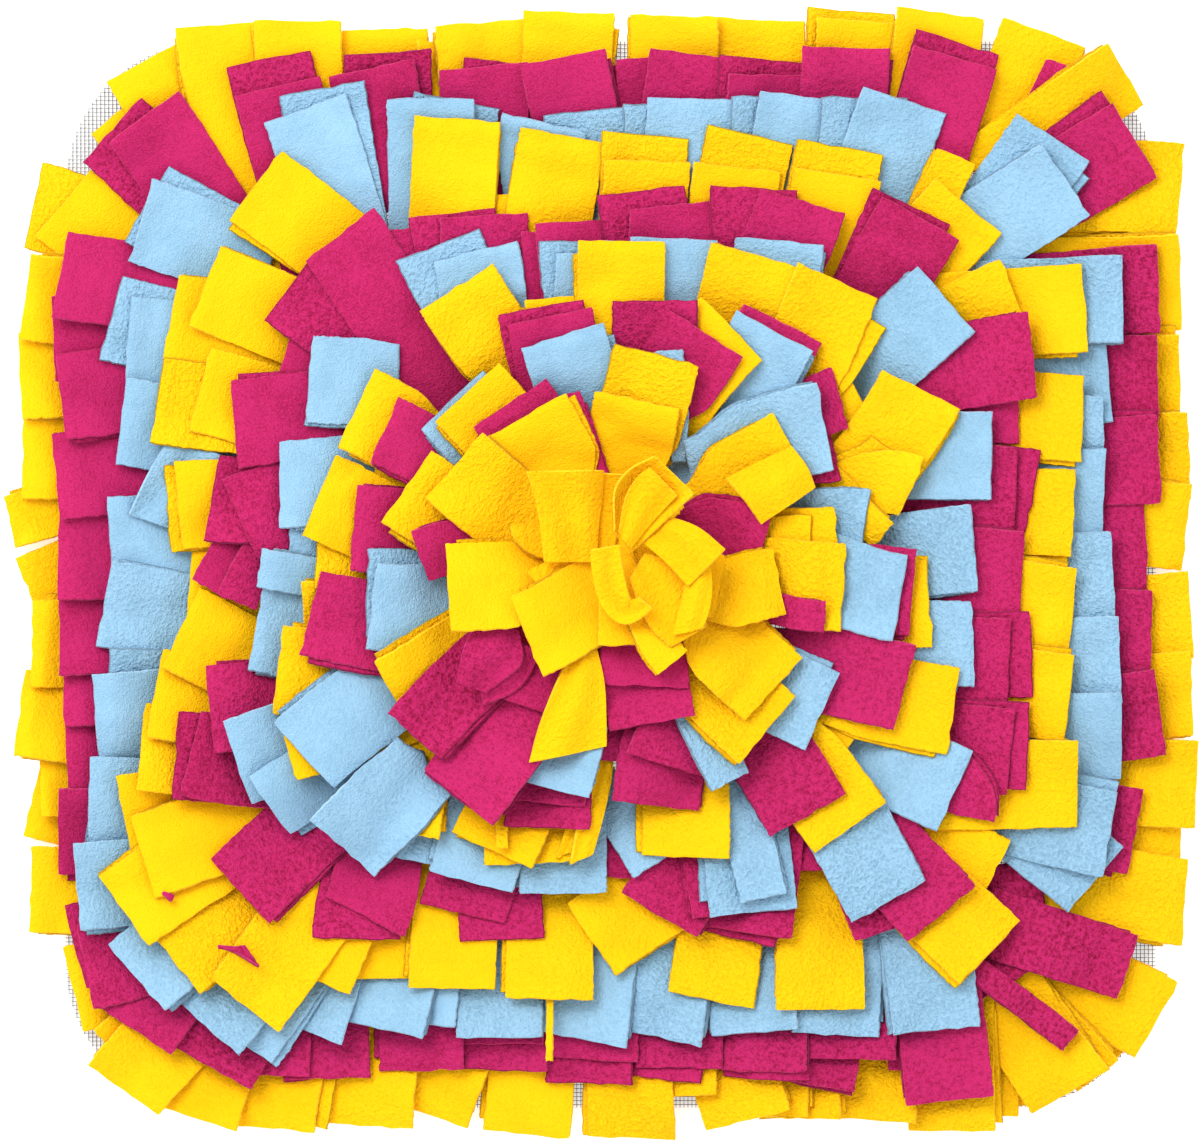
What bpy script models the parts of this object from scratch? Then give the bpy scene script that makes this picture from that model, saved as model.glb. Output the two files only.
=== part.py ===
"""Snuffle mat: rows of fleece strips sewn round and round on a square net backing.

Every strip is folded over its stitch line, so it has two tails that lie outwards together.
A row of strips is one comb: a band along the stitch line, and a tooth for each pair of tails.
The outer rows lie nearly flat and each row leans on the one outside it, up to the tuft in
the middle. The mat lies on its backing, with the origin in the middle of its underside.
"""

import math
from collections import namedtuple

import bmesh
import bpy

# The outer row: half of the mat's width and depth over the tips, and the corner's radius.
MAT_HALF_X = 0.2250
MAT_HALF_Y = 0.2140
CORNER_RADIUS = 0.080

# From one row to the next: how far its tips and its middle move.
ROW_STEP_X = 0.0173
ROW_STEP_Y = 0.0167
DRIFT_X = 0.0014
DRIFT_Y = 0.0010

# A strip, and how far its tails reach in plan: less in each row, as they stand steeper.
STRIP_WIDTH = 0.033
SLIT = 0.0015
PAIR_THICKNESS = 0.0043
OUTER_REACH = 0.062
REACH_STEP = 0.0026

# The tails rise from the stitch line to a knee, and lean outwards from there.
BACKING_THICKNESS = 0.0012
STITCH_HEIGHT = 0.0015
STITCH_THICKNESS = 0.0034
KNEE_OUT = 0.007
KNEE_HEIGHT = 0.009

# The net backing: its half sizes, corner radius and middle.
BACKING_HALF_X = 0.206
BACKING_HALF_Y = 0.2015
BACKING_CORNER = 0.055
BACKING_MIDDLE = (0.0040, 0.0005)
CORNER_SEGMENTS = 10

# The cut ends are uneven: teeth in turn fall short of the row's line by these lengths.
SHORT_BY = (0.0, 0.0030, 0.0012, 0.0040, 0.0005, 0.0022, 0.0, 0.0034, 0.0015)
SKEWED_BY = (0.0, 0.0012, 0.0, 0.0004, 0.0020)

# The tails sway to one side and the other along a row, by this slope and so many times.
SWAY = 0.16
SWAYS_ROUND = 5
SWAY_SHIFT = 2.1

# The outer row's tails lie flat on the backing and run out over its edge.
FLAT_KNEE = (0.008, 0.0028)
FLAT_TIP_HEIGHT = 0.0016

# Each row: how steeply it leans from its knee, and the most that its underside rises to.
Row = namedtuple("Row", "name fleece lean ceiling")
ROWS = (
    Row("row_01_yellow", "yellow_fleece", 0.00, 0.0028),
    Row("row_02_magenta", "magenta_fleece", 0.00, 0.0075),
    Row("row_03_blue", "blue_fleece", 0.42, 0.0122),
    Row("row_04_yellow", "yellow_fleece", 0.42, 0.0169),
    Row("row_05_magenta", "magenta_fleece", 0.42, 0.0216),
    Row("row_06_blue", "blue_fleece", 0.45, 0.0263),
    Row("row_07_yellow", "yellow_fleece", 0.50, 1.0),
    Row("row_08_magenta", "magenta_fleece", 0.57, 1.0),
    Row("row_09_blue", "blue_fleece", 0.68, 1.0),
    Row("row_10_yellow", "yellow_fleece", 0.80, 1.0),
    Row("row_11_magenta", "magenta_fleece", 0.95, 1.0),
)

# At the corners some strips stop short of their row's line, and others run past it.
Corner = namedtuple("Corner", "row toward_x toward_y spread_degrees short_by")
CORNERS = (
    Corner("row_01_yellow", -1, 1, 24, 0.0140),
    Corner("row_01_yellow", -1, -1, 30, 0.0050),
    Corner("row_01_yellow", 1, -1, 30, 0.0040),
    Corner("row_02_magenta", -1, 1, 24, 0.0080),
    Corner("row_02_magenta", 1, 1, 20, -0.0060),
    Corner("row_03_blue", -1, 1, 20, -0.0030),
    Corner("row_03_blue", 1, 1, 25, -0.0100),
    Corner("row_04_yellow", -1, 1, 25, 0.0050),
    Corner("row_05_magenta", -1, 1, 25, 0.0060),
    Corner("row_05_magenta", 1, -1, 25, -0.0060),
)

# The tuft in the middle: strips that stand up round a small ring and curl over.
TUFT_FOOT = 0.008
TUFT_TEETH = 6
TUFT_SWIRL = 0.30
TUFT_PROFILE = (
    (0.000, STITCH_HEIGHT),
    (0.004, 0.026),
    (0.010, 0.040),
    (0.020, 0.0465),
    (0.028, 0.0470),
    (0.034, 0.0445),
)

Material = namedtuple("Material", "colour roughness")
MATERIALS = {
    "yellow_fleece": Material((0.93, 0.66, 0.012), 0.95),
    "magenta_fleece": Material((0.62, 0.022, 0.165), 0.95),
    "blue_fleece": Material((0.36, 0.63, 0.87), 0.95),
    "white_net": Material((0.70, 0.70, 0.69), 0.80),
}


class RoundedLine:
    """A rounded rectangle about a middle point, walked anticlockwise from the right side."""

    def __init__(self, half_x, half_y, corner, middle):
        self.half_x, self.half_y, self.corner, self.middle = half_x, half_y, corner, middle
        flat_x, flat_y = half_x - corner, half_y - corner
        arc = corner * math.pi / 2
        self.corners = ((flat_x, flat_y), (-flat_x, flat_y), (-flat_x, -flat_y), (flat_x, -flat_y))
        self.flats = (2 * flat_y, 2 * flat_x, 2 * flat_y, 2 * flat_x)
        self.arc = arc
        self.length = sum(self.flats) + 4 * arc

    def at(self, distance):
        """The point that far along the line, and the outward direction's angle there."""
        distance %= self.length
        for side in range(4):
            turn = side * math.pi / 2
            x, y = self.corners[side]
            if distance <= self.flats[side]:
                back = self.flats[side] - distance
                x += self.corner * math.cos(turn) + back * math.sin(turn)
                y += self.corner * math.sin(turn) - back * math.cos(turn)
                return (self.middle[0] + x, self.middle[1] + y), turn
            distance -= self.flats[side]
            if distance <= self.arc or side == 3:
                turn += distance / self.corner
                x += self.corner * math.cos(turn)
                y += self.corner * math.sin(turn)
                return (self.middle[0] + x, self.middle[1] + y), turn
            distance -= self.arc
        raise ValueError("distance is off the line")


def thicken(under, thickness, root_top):
    """The upper line of a layer over its underside, a list of (reach, height), with mitred bends."""
    over = [root_top]
    for i in range(1, len(under)):
        before, here = under[i - 1], under[i]
        first = math.atan2(here[1] - before[1], here[0] - before[0])
        second = first
        if i + 1 < len(under):
            after = under[i + 1]
            second = math.atan2(after[1] - here[1], after[0] - here[0])
        lean = (first + second) / 2
        offset = thickness / math.cos((second - first) / 2)
        over.append((here[0] - offset * math.sin(lean), here[1] + offset * math.cos(lean)))
    return over


def row_underside(row, reach):
    """The underside of a row's tails from the stitch line to the tip, as (reach, height)."""
    foot = (0.0, STITCH_HEIGHT)
    if row.ceiling <= FLAT_KNEE[1]:
        return [foot, FLAT_KNEE, (reach, FLAT_TIP_HEIGHT)]
    if row.ceiling <= KNEE_HEIGHT:
        return [foot, (KNEE_OUT, row.ceiling), (reach, row.ceiling)]
    knee = (KNEE_OUT, KNEE_HEIGHT)
    tip_height = KNEE_HEIGHT + (reach - KNEE_OUT) * row.lean
    if tip_height <= row.ceiling:
        return [foot, knee, (reach, tip_height)]
    bend_out = KNEE_OUT + (row.ceiling - KNEE_HEIGHT) / row.lean
    return [foot, knee, (bend_out, row.ceiling), (reach, row.ceiling)]


def short_at_corner(name, angle):
    """How much shorter a tooth is that points this way, from the table of corners."""
    for entry in CORNERS:
        corner = math.atan2(entry.toward_y, entry.toward_x)
        apart = math.remainder(angle - corner, math.tau)
        if entry.row == name and abs(apart) < math.radians(entry.spread_degrees):
            return entry.short_by
    return 0.0


def comb_mesh(name, line, reach, profile, over, teeth, sway):
    """A comb along a rounded line of tips: a band at its root, and teeth with slits between.

    profile and over are the lower and upper lines of a tooth, and sway gives the sideways
    slope of the teeth at a distance along the line.
    """
    mesh = bmesh.new()
    pitch = line.length / teeth
    half = (pitch - SLIT) / 2
    last = len(profile) - 1

    # a shorter tooth ends lower down its own slope
    (low_out, low_height), (tip_out, tip_height) = profile[-2:]
    tip_slope = (tip_height - low_height) / (tip_out - low_out)

    def edge(distance, short):
        """The lower and upper points of a tooth's edge, from the root to the tip."""
        (tip_x, tip_y), angle = line.at(distance)
        out_x, out_y = math.cos(angle), math.sin(angle)
        aside = sway(distance / line.length)
        points = []
        for station, pair in enumerate(zip(profile, over)):
            cut = short + short_at_corner(name, angle) if station == last else 0.0
            for along, height in pair:
                along -= cut
                back, across = reach - along, along * aside
                points.append(mesh.verts.new((
                    tip_x - out_x * back - out_y * across,
                    tip_y - out_y * back + out_x * across,
                    height - cut * tip_slope,
                )))
        return list(zip(points[::2], points[1::2]))

    edges = []
    for tooth in range(teeth):
        middle = (tooth + 0.5) * pitch
        short = SHORT_BY[tooth % len(SHORT_BY)]
        skew = SKEWED_BY[tooth % len(SKEWED_BY)]
        edges.append((edge(middle - half, short), edge(middle + half, short + skew)))

    for tooth, (right, left) in enumerate(edges):
        following = edges[(tooth + 1) % teeth][0]
        for station in range(last):
            a, b, c, d = right[station], right[station + 1], left[station + 1], left[station]
            mesh.faces.new((a[0], b[0], c[0], d[0]))
            mesh.faces.new((a[1], b[1], c[1], d[1]))
            if station:
                mesh.faces.new((a[0], b[0], b[1], a[1]))
                mesh.faces.new((d[0], c[0], c[1], d[1]))
        mesh.faces.new((right[last][0], left[last][0], left[last][1], right[last][1]))
        mesh.faces.new((right[0][0], left[0][0], left[0][1], right[0][1]))
        # the band goes on across the slit to the next tooth
        mesh.faces.new((left[0][0], left[1][0], following[1][0], following[0][0]))
        mesh.faces.new((left[0][1], left[1][1], following[1][1], following[0][1]))
        mesh.faces.new((left[0][0], following[0][0], following[0][1], left[0][1]))
        mesh.faces.new((left[1][0], following[1][0], following[1][1], left[1][1]))
    return mesh


def backing_mesh():
    """The net backing as one flat sheet with round corners."""
    mesh = bmesh.new()
    line = RoundedLine(BACKING_HALF_X, BACKING_HALF_Y, BACKING_CORNER, BACKING_MIDDLE)
    rim = []
    for side in range(4):
        x, y = line.corners[side]
        for step in range(CORNER_SEGMENTS + 1):
            turn = (side + step / CORNER_SEGMENTS) * math.pi / 2
            rim.append((
                line.middle[0] + x + BACKING_CORNER * math.cos(turn),
                line.middle[1] + y + BACKING_CORNER * math.sin(turn),
            ))
    lower = [mesh.verts.new((x, y, 0.0)) for x, y in rim]
    upper = [mesh.verts.new((x, y, BACKING_THICKNESS)) for x, y in rim]
    mesh.faces.new(lower)
    mesh.faces.new(upper)
    for i in range(len(rim)):
        j = (i + 1) % len(rim)
        mesh.faces.new((lower[i], lower[j], upper[j], upper[i]))
    return mesh


def make_material(slot):
    look = MATERIALS[slot]
    material = bpy.data.materials.new(slot)
    material.use_nodes = True
    shader = material.node_tree.nodes["Principled BSDF"]
    shader.inputs["Base Color"].default_value = (*look.colour, 1.0)
    shader.inputs["Roughness"].default_value = look.roughness
    shader.inputs["Metallic"].default_value = 0.0
    material.diffuse_color = (*look.colour, 1.0)
    return material


def add_object(name, mesh, material):
    bmesh.ops.triangulate(mesh, faces=mesh.faces[:])
    bmesh.ops.recalc_face_normals(mesh, faces=mesh.faces[:])
    data = bpy.data.meshes.new(name)
    mesh.to_mesh(data)
    mesh.free()
    data.materials.append(material)
    piece = bpy.data.objects.new(name, data)
    bpy.context.scene.collection.objects.link(piece)
    return piece


def make_row(number, row, material):
    middle = (number * DRIFT_X, number * DRIFT_Y)
    half_x = MAT_HALF_X - number * ROW_STEP_X
    half_y = MAT_HALF_Y - number * ROW_STEP_Y
    line = RoundedLine(half_x, half_y, min(CORNER_RADIUS, half_y), middle)
    reach = OUTER_REACH - number * REACH_STEP
    under = row_underside(row, reach)
    over = thicken(under, PAIR_THICKNESS, (0.0, STITCH_HEIGHT + STITCH_THICKNESS))
    teeth = round(line.length / (STRIP_WIDTH + SLIT))

    def sway(share):
        return SWAY * math.sin(SWAYS_ROUND * math.tau * share + SWAY_SHIFT * number)

    mesh = comb_mesh(row.name, line, reach, under, over, teeth, sway)
    return add_object(row.name, mesh, material)


def make_tuft(material):
    rows = len(ROWS)
    reach = TUFT_PROFILE[-1][0]
    radius = TUFT_FOOT + reach
    line = RoundedLine(radius, radius, radius, (rows * DRIFT_X, rows * DRIFT_Y))
    first, second = TUFT_PROFILE[:2]
    lean = math.atan2(second[1] - first[1], second[0] - first[0])
    root_top = (-PAIR_THICKNESS * math.sin(lean), first[1] + PAIR_THICKNESS * math.cos(lean))
    over = thicken(TUFT_PROFILE, PAIR_THICKNESS, root_top)
    mesh = comb_mesh("centre_tuft", line, reach, TUFT_PROFILE, over, TUFT_TEETH, lambda _: TUFT_SWIRL)
    return add_object("centre_tuft", mesh, material)


def main():
    for old in list(bpy.data.objects):
        bpy.data.objects.remove(old, do_unlink=True)
    materials = {slot: make_material(slot) for slot in MATERIALS}
    add_object("net_backing", backing_mesh(), materials["white_net"])
    for number, row in enumerate(ROWS):
        make_row(number, row, materials[row.fleece])
    make_tuft(materials["yellow_fleece"])


main()
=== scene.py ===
"""Looks of the snuffle mat: fleece strips laid row over row on a net backing.

Every strip is one piece of fleece, folded over its stitch line, with an under tail and an
upper tail. The strips are laid in the order that a maker sews them, from the rim inwards,
and each tail rests on what already lies there. Lengths here are in millimetres, with the
origin in the middle of the mat's underside, and the meshes are in metres.
"""

import math

import bpy
import numpy as np
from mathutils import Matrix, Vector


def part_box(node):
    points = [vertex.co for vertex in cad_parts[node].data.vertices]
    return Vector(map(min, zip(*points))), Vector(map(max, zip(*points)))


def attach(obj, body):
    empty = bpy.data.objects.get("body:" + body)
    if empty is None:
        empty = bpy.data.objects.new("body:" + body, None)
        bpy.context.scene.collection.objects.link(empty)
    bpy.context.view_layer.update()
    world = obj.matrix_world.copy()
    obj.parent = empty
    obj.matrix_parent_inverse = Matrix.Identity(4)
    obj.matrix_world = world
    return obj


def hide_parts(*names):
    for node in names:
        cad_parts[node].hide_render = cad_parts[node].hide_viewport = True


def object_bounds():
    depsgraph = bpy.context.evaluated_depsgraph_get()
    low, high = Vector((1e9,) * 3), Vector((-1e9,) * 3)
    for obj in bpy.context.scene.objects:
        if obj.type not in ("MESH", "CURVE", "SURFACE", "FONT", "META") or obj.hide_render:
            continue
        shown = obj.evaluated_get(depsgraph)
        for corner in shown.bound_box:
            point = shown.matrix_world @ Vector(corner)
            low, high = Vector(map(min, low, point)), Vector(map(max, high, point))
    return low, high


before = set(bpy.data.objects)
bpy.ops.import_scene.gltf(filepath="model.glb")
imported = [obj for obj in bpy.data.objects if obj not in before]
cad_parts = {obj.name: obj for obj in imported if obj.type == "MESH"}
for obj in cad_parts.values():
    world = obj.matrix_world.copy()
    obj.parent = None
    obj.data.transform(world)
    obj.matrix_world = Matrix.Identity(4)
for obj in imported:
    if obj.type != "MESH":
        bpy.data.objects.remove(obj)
cad_low, cad_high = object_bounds()

MM = 0.001

# Fleece: thickness, its thickness where other strips press on it, how far the soft
# rounding of a cut edge reaches, and a strip's width.
FLEECE = 1.6
PRESSED = 0.85
EDGE = 0.4
STRIP_WIDTH = 33.0

# The solids' own values: the reach of the rim's tails, and how much less it is in each row
# inwards, the round corners, a pair of tails' thickness, how far out and how high a tail's
# knee is, and the heights of its root and of the net's top.
RIM_REACH = 62.0
REACH_STEP = 2.6
CORNER_RADIUS = 80.0
PAIR_THICKNESS = 4.3
KNEE = (7.0, 9.0)
ROOT_HEIGHT = 1.5
NET_TOP = 1.2

# A row whose tails spring higher than this rises all the way to their tips. The others
# lie level from this share of their length.
STEEP_ROW = 30.0
LEVEL_FROM = 0.6

# The tuft's own reach, and the middle and radius of its round stitch line.
TUFT_REACH = 38.0
TUFT_MIDDLE = (15.4, 11.0)
TUFT_RADIUS = 8.0

# Resting: the gap left between layers, the tightest bend of the cloth over an edge, and
# how steeply the cloth comes down beside what it rests on.
GAP = 0.15
BEND = 5.0
NEAR_SLOPE = 0.55

# Settling: the pile stays as laid up to its free height. Where it is higher, what lies
# below the loose top layers is pressed together to this share. The top layers give a
# little too, in the next few millimetres of height.
FREE_HEIGHT = 12.0
SETTLED = 0.45
LOOSE_TOP = 10.0
TOP_GIVES = 0.2
GIVES_OVER = 10.0

# How far the pile's grid reaches from the middle of the mat, and how many places each way
# its height is evened out over before it settles.
PILE_REACH = 250
EVEN_REACH = 7

# Where the pile is lower than this, the net would show through. A patch covers a bare
# spot: how wide a spot is, the least of it that counts, in square millimetres, how far from
# the patch's stitch line it lies at best, how far past it the patch reaches, and its width.
BARE_HEIGHT = 3.0
SPOT_WIDTH = 20.0
SMALLEST_SPOT = 4
PATCH_TAIL = 20.0
PATCH_PAST = 7.0
PATCH_WIDTH = 24

# A strip's grid: places along a tail, closer together towards its tip, and across it.
ALONG, ACROSS = 23, 9
TAIL_STEPS = np.linspace(0, 1, ALONG) * (1.6 - 0.6 * np.linspace(0, 1, ALONG))
SIDEWAYS = np.linspace(-0.5, 0.5, ACROSS)

# A turned strip: places along it, the height of its soft rolls for its width, how many
# there are, and how nubbly its outer and inner faces are.
TURNED_STEPS = 26
ROLL, ROLLS = 0.07, 1.3
TURNED_NAP = (0.4, 0.8)

# The tables' origin, from the middle of the mat, and the mat's size there.
TABLE_MIDDLE = (0.0, 1.5)
TABLE_SIZE = (450.2, 428.2)
MAT_MIDDLE = (np.array(cad_high) + np.array(cad_low))[:2] / 2 / MM
TABLE_SCALE = (np.array(cad_high) - np.array(cad_low))[:2] / MM / TABLE_SIZE

# How far above the mat the camera is, and how wide a piece of the floor it sees.
VIEW_DISTANCE = 3500.0
VIEW_WIDTH = 453.6

# Each fleece's colour, its deep colour, which its painted shade and random tone lean towards,
# and the paler colour of its cut edge, a painted highlight; how much its nubbly side is
# shaded, and how strongly its lumps and its fuzz show in the colour, as painted shade in
# their hollows.
FLEECES = {
    "yellow": ((0.96, 0.55, 0.003), (0.92, 0.40, 0.0), (0.98, 0.62, 0.06), 0.03, 0.11, 0.08),
    "magenta": ((0.50, 0.019, 0.125), (0.20, 0.002, 0.022), (0.62, 0.10, 0.24), 0.08, 0.40, 0.30),
    "blue": ((0.29, 0.505, 0.70), (0.13, 0.27, 0.38), (0.50, 0.64, 0.76), 0.05, 0.14, 0.12),
}
ROW_COLOURS = ("yellow", "magenta", "blue", "yellow", "magenta", "blue",
               "yellow", "magenta", "blue", "yellow", "magenta", "yellow")

# Strips by row, in the order that they are laid. Each gives the middle of its upper tail's
# tip, and the direction that the tail points in, in degrees. A triple within it is the
# under tail's, where that shows. A fourth number is its width, where it is narrow, turned
# or rolled, and a fifth the row whose stitch line it is sewn to, if not its own.
#
# A strip that turns, rolls or folds over is given by stations along it instead. A station
# has its middle, its height above the lowest one, the direction that its cross-line points
# in, how far that line tilts up, the width, and how far its edges stand above its middle,
# if they do. A number after the stations is the strip's tone: the lower, the deeper. It is
# painted shade, for the rosette strips that lie in the shade of the others.
LAYERS = (
    (1, (
        (-180, 176, 129), (-203, 139.5, 139, (-214, 139, 168)), (-172, 193, 120),
        (-144, 206.5, 95, 33, 4), (-81.5, 205, 91), (-114, 208, 90), (-63, 200, 92, 12),
        (-45.5, 207.5, 94, 34.5), (-11.5, 211.5, 88, 34), (61, 208.5, 90), (28, 210, 90),
        (98, 208, 88, (95, 212, 85)), (129, 211, 84), (168, 204, 69), (216, 127, 4, 20),
        (219, 144.5, -5, 35.5), (219, 109.5, 3, 36), (219, 73, 0), (222.5, 44, 2), (221.5, 17, 355),
        (223, -16, 6), (223.5, -46, 4), (219.5, -99, 358), (225, -80, 0), (201, -177, 320),
        (210, -169, 332), (221, -125, 351), (142, -205.5, 268), (188, -190, 312, 20),
        (177, -196, 304), (133, -211, 272), (103, -207, 270), (75, -206, 270), (62, -205, 269),
        (55.8, -206.5, 287), (33, -197.5, 270, 22), (12, -213.5, 272), (-28, -212.5, 263),
        (-65.7, -204.7, 251), (-87, -209, 268), (-124, -210, 264), (-153, -206, 254),
        (-199, -158, 198), (-186, -179, 222, 16), (-180, -195.5, 232), (-214, -84, 165),
        (-215, -120, 178), (-211, -76, 180), (-219, -53, 173), (-216.5, -5.5, 203, 23),
        (-214.5, -27, 180), (-223, 19, 194, 20), (-218, 44, 179), (-219, 74, 182), (-217, 104, 172),
    )),
    (2, ((173, 192, 65, (173, 191.5, 65), 9.5),)),
    (1, ((198.5, 188, 33.7, 27),)),
    (2, (
        (-172, 171.5, 125, (-184, 167, 137)), (-122, 183, 104, (-125, 193.5, 102), 33, 4),
        (-86, 190, 100, (-80, 196, 91)), (-44, 190.5, 94, (-35, 192, 83)), (22.5, 194, 91),
        (-14, 194, 101), (35, 195, 82), (65, 187.5, 89, (61, 193.5, 86)), (93, 197.5, 88),
        (134, 194, 74, (135, 200, 73)), (201.5, 163, 32, (198, 168, 36)), (210.5, 107, 3),
        (210, 73, 0), (206, 10, 2), (210.5, 43, 4), (208, -23, 358), (211, -53, 8), (202, -98, 350),
        (157, -153.5, 301), (199, -149, 342, 26), (125, -188, 268), (132, -199, 277),
        (79, -193, 258, (79, -194, 258)), (95, -183.5, 268), (61, -188, 268, (63, -191, 270)),
        (30, -187, 270, (22, -191, 261)), (-2, -184, 268, (-4, -193, 270)),
        (-38, -178, 270, (-36, -188, 269)), (-68, -188, 269), (-103, -191, 270), (-126, -190, 268),
        (-146, -187, 239), (-175, -173, 236), (-194, -149, 190, (-198, -142, 196)),
        (177, -176.5, 323, (175.5, -176, 323), 10), (-201, -65, 182), (-204, -98, 180),
        (-202, -42, 182), (-203.5, -23, 183), (-204, 6, 180), (-205, 36, 185), (-206, 88, 180),
        (-203, 66, 186), (-203.5, 112, 171),
    )),
    (3, (
        (-173, 133, 162, (-171, 139, 150)), (-178, 88, 176, (-184.5, 96, 165.5)), (-180.5, 57, 173),
        (-185, 12, 183), (-187, -12, 171),
        ((-152, 47, 2, -18, 0, 22), (-160, 33, 3, -20, -6, 22), (-169, 19, 1, -18, -4, 18)),
        (-190, -55, 183, (-185, -45, 180)), (-192.5, -86, 178), (-197, -119, 184),
        (-111, 175, 108, (-105, 182.5, 98)), (-64, 178.5, 90, (-54, 178, 80)),
        (-21, 169.5, 76, (-5, 174, 95)), (34.5, 178.5, 88, (25, 176, 90)),
        (77, 179, 80, (66, 179, 88)), (115, 178, 70, (100, 179, 88)), (171, 164, 56),
        (175.5, 148, 35), (192, 73, 4), (197, 103, 2), (190, 50, 0), (190, 30, 0), (193.5, -1, 2),
        (196, -33, 2), (196.5, -62, 0), (187, -116, 321), (192, -99, 350), (89, -174.5, 265),
        (127, -172.5, 277), (58.5, -173.5, 277), (22, -175.5, 262), (-6, -176.5, 263),
        (-38, -175.5, 270), (-71, -170, 264), (-83, -172, 258), (-113, -172.5, 253),
        (-137, -176, 235), (-148.5, -171, 229), (-174.5, -153, 221),
    )),
    (4, (
        (-130, 146, 144), (-162, 96, 172), (-149, 108, 158), (-54, 171, 86), (-14, 165, 80),
        (18, 155, 90, (17, 165, 86)), (52, 153, 84, (57, 165, 77)), (90, 150, 78, (91, 160.5, 78)),
        (134.5, 157, 66, 16), (139, 138, 50), (183, 100, 2), (157, 103, 22), (182, 58, 356),
        (178.5, 22, 356), (178.5, -15, 353), (177, -48, 353), (180, -80, 0),
        (147, -143.5, 315, (145, -145.5, 315)), (83, -165, 270), (42, -161.5, 261),
        (-19, -184, 270, (-19, -183, 270), 3), (-19, -161, 270), (-3, -139, 216),
        (-88, -153.5, 268), (-56, -157, 268), (-108, -154, 248, 30), (-161, -146, 220),
        (-134, -163, 232), (-179.5, -93, 190), (-179.5, -128, 216), (-172, -108, 200),
        (-173, -66, 174), (-168, -46, 170), (-155, -6, 175), (-158, -21, 154),
        (-159, 25, 184, (-163, 24, 182)), (-151, 69, 167, (-167, 65, 172)),
    )),
    (5, (
        (-98, 127.5, 124, (-117, 108, 144), 33, 7), (-44, 134.5, 96, (-56, 135.5, 95)),
        (-20, 128, 92, 20), (-8, 132.5, 93), (27, 138.5, 93, (15, 144, 97)),
        (77, 140, 73, (58, 145, 90)), (121.5, 133.5, 59, (118, 138, 66)), (158, 65, 0),
        (163, 82, 8), (157, 31, 358, (163.5, 30, 352)), (159.5, -1, 357),
        (154.5, -34, 358, (163, -31, 0)), (155, -68, 356, (161.5, -66, 356)), (140, -92.5, 257, 19),
        (112, -134, 292), (129, -129, 310), (56, -136, 262, (50, -138, 256)), (22.5, -129.5, 239),
        (43, -129.5, 278, 16), (-52, -129, 256, (-37, -139, 272)),
        (-89, -130, 245, (-92, -138.5, 269)), (-136, -120.5, 224),
        ((-143, -140.5, 0, 112, 0, 1.2), (-137, -141.7, 0, 118, 0, 3),
         (-130.6, -144, 0, 124, 0, 10)),
        ((-164, -120.5, 0, 62, 0, 1.5), (-160.5, -122.5, 0, 62, 0, 3)),
        (-154, -68, 165, (-160, -69, 175)), (-147, -52, 187), (-148, -6, 245, 14),
        (-137.5, -11, 247, 16), (-136, 20, 205, (-146.5, 28, 170)), (-138, 56, 185),
    )),
    (6, (
        (-47, 121, 104, (-61.5, 123.5, 112)), (0, 120, 90, (-6, 125, 89)), (28, 126, 89),
        (68, 125, 82), (131, 103, 40.6), (148, 44, 0), (141.5, 9, 5), (141, -27, 358),
        (134, -83, 336), (109, -124.5, 298), (58, -128.5, 275), (62, -123, 283, 18),
        (20, -111, 300, 18), (-14, -121.5, 270), (-49, -117, 253.5), (-137, -72, 200),
        (-125, -88, 212, 27), (-130, -21, 167), (-128.5, 1.5, 170, 15), (-121, 33, 183),
        (-110, 73, 174),
    )),
    (7, (
        (-54, 107.5, 121), (-12, 104, 95), (8, 125, 90), (58, 120, 75),
        (90, 110, 67, (94, 101, 60)), (121.5, 69, 64), (118, 32.5, -25, (112.5, 45, 57), 24),
        (124.5, -12, 3), (133.5, -52.5, 351), (94.5, -96.5, 307), (32, -107.5, 268),
        (-27, -110, 272), (-41, -105, 244), (-65, -100, 262, 10),
        (-37, -104, 272, (-37, -103, 272), 5),
        ((-1, -68, 5, 12, 14, 8), (-4, -81, 4, 8, 16, 9), (-9, -96, 2, 14, 14, 9),
         (-13.5, -106, 0, 24, 8, 7)),
        ((2.5, -66, 6, 10, -18, 6), (0, -78, 6, 6, -20, 9), (-3.5, -92, 4, 12, -20, 10.5),
         (-7, -107.5, 0, 24, -8, 10)),
        (107, 14, -40, 12), (-117, -70, 195, 20), (-112, -20, 182), (-121.5, -37, 176),
        (-106, 29, 158, (-107, 10, 175)), (-92, 62, 155),
    )),
    (9, ((-112, -69, 222, 34),)),
    (6, ((-97, -104, 227),)),
    (8, (
        (-19, 96.5, 100, (-22.5, 100, 100)), (69, 94, 65), (90.5, 66, 17, (88.5, 46.5, 12), 24),
        (118, -8, 352), (115, -44, 346, (113, -43, 350)), (78.5, -92, 301), (21, -88, 264),
        (26, -73, 253), (-22, -87, 265, (-20, -96.5, 267)), (-53, -86, 233.5), (-109, -16, 168),
        (-93, 17, 174), (-81.5, 53.5, 158, 27),
    )),
    (9, ((66, 91, 63, 33, 11),)),
    (10, ((50, 92, 42, 33),)),
    (8, ((39.5, 90, 59, (20.5, 102.5, 90)),)),
    (9, (
        (26, 83.5, 95, 11), (-14, 89.5, 108), (85, 55, 11), (113.5, -10, 350, (100, 15, -10)),
        (84, -52.5, -22.5), (49, -79, 295, 16), (-20, -81, 255), (-86, -13, 173, (-88, -8, 180)),
        (-56, 65, 132),
    )),
    (10, (
        (0, 51, 98, 16), (14, 65, 78, (21.5, 82, 76)), (-50, 68, 133), (-73, 32.5, 144),
        (-77, -48, 209), (90, 8, 3), (92, -6, 357, (80, 5, 0)), (73, 46, 29), (63, -59.5, -41),
    )),
    (11, (
        (-34, 64, 123), (-12.5, 67, 105, 11), (-68, 6, 200, 20), (-53.5, -85, 231),
        (-70, -62, 230, 27), (-30, -50, 250),
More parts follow.
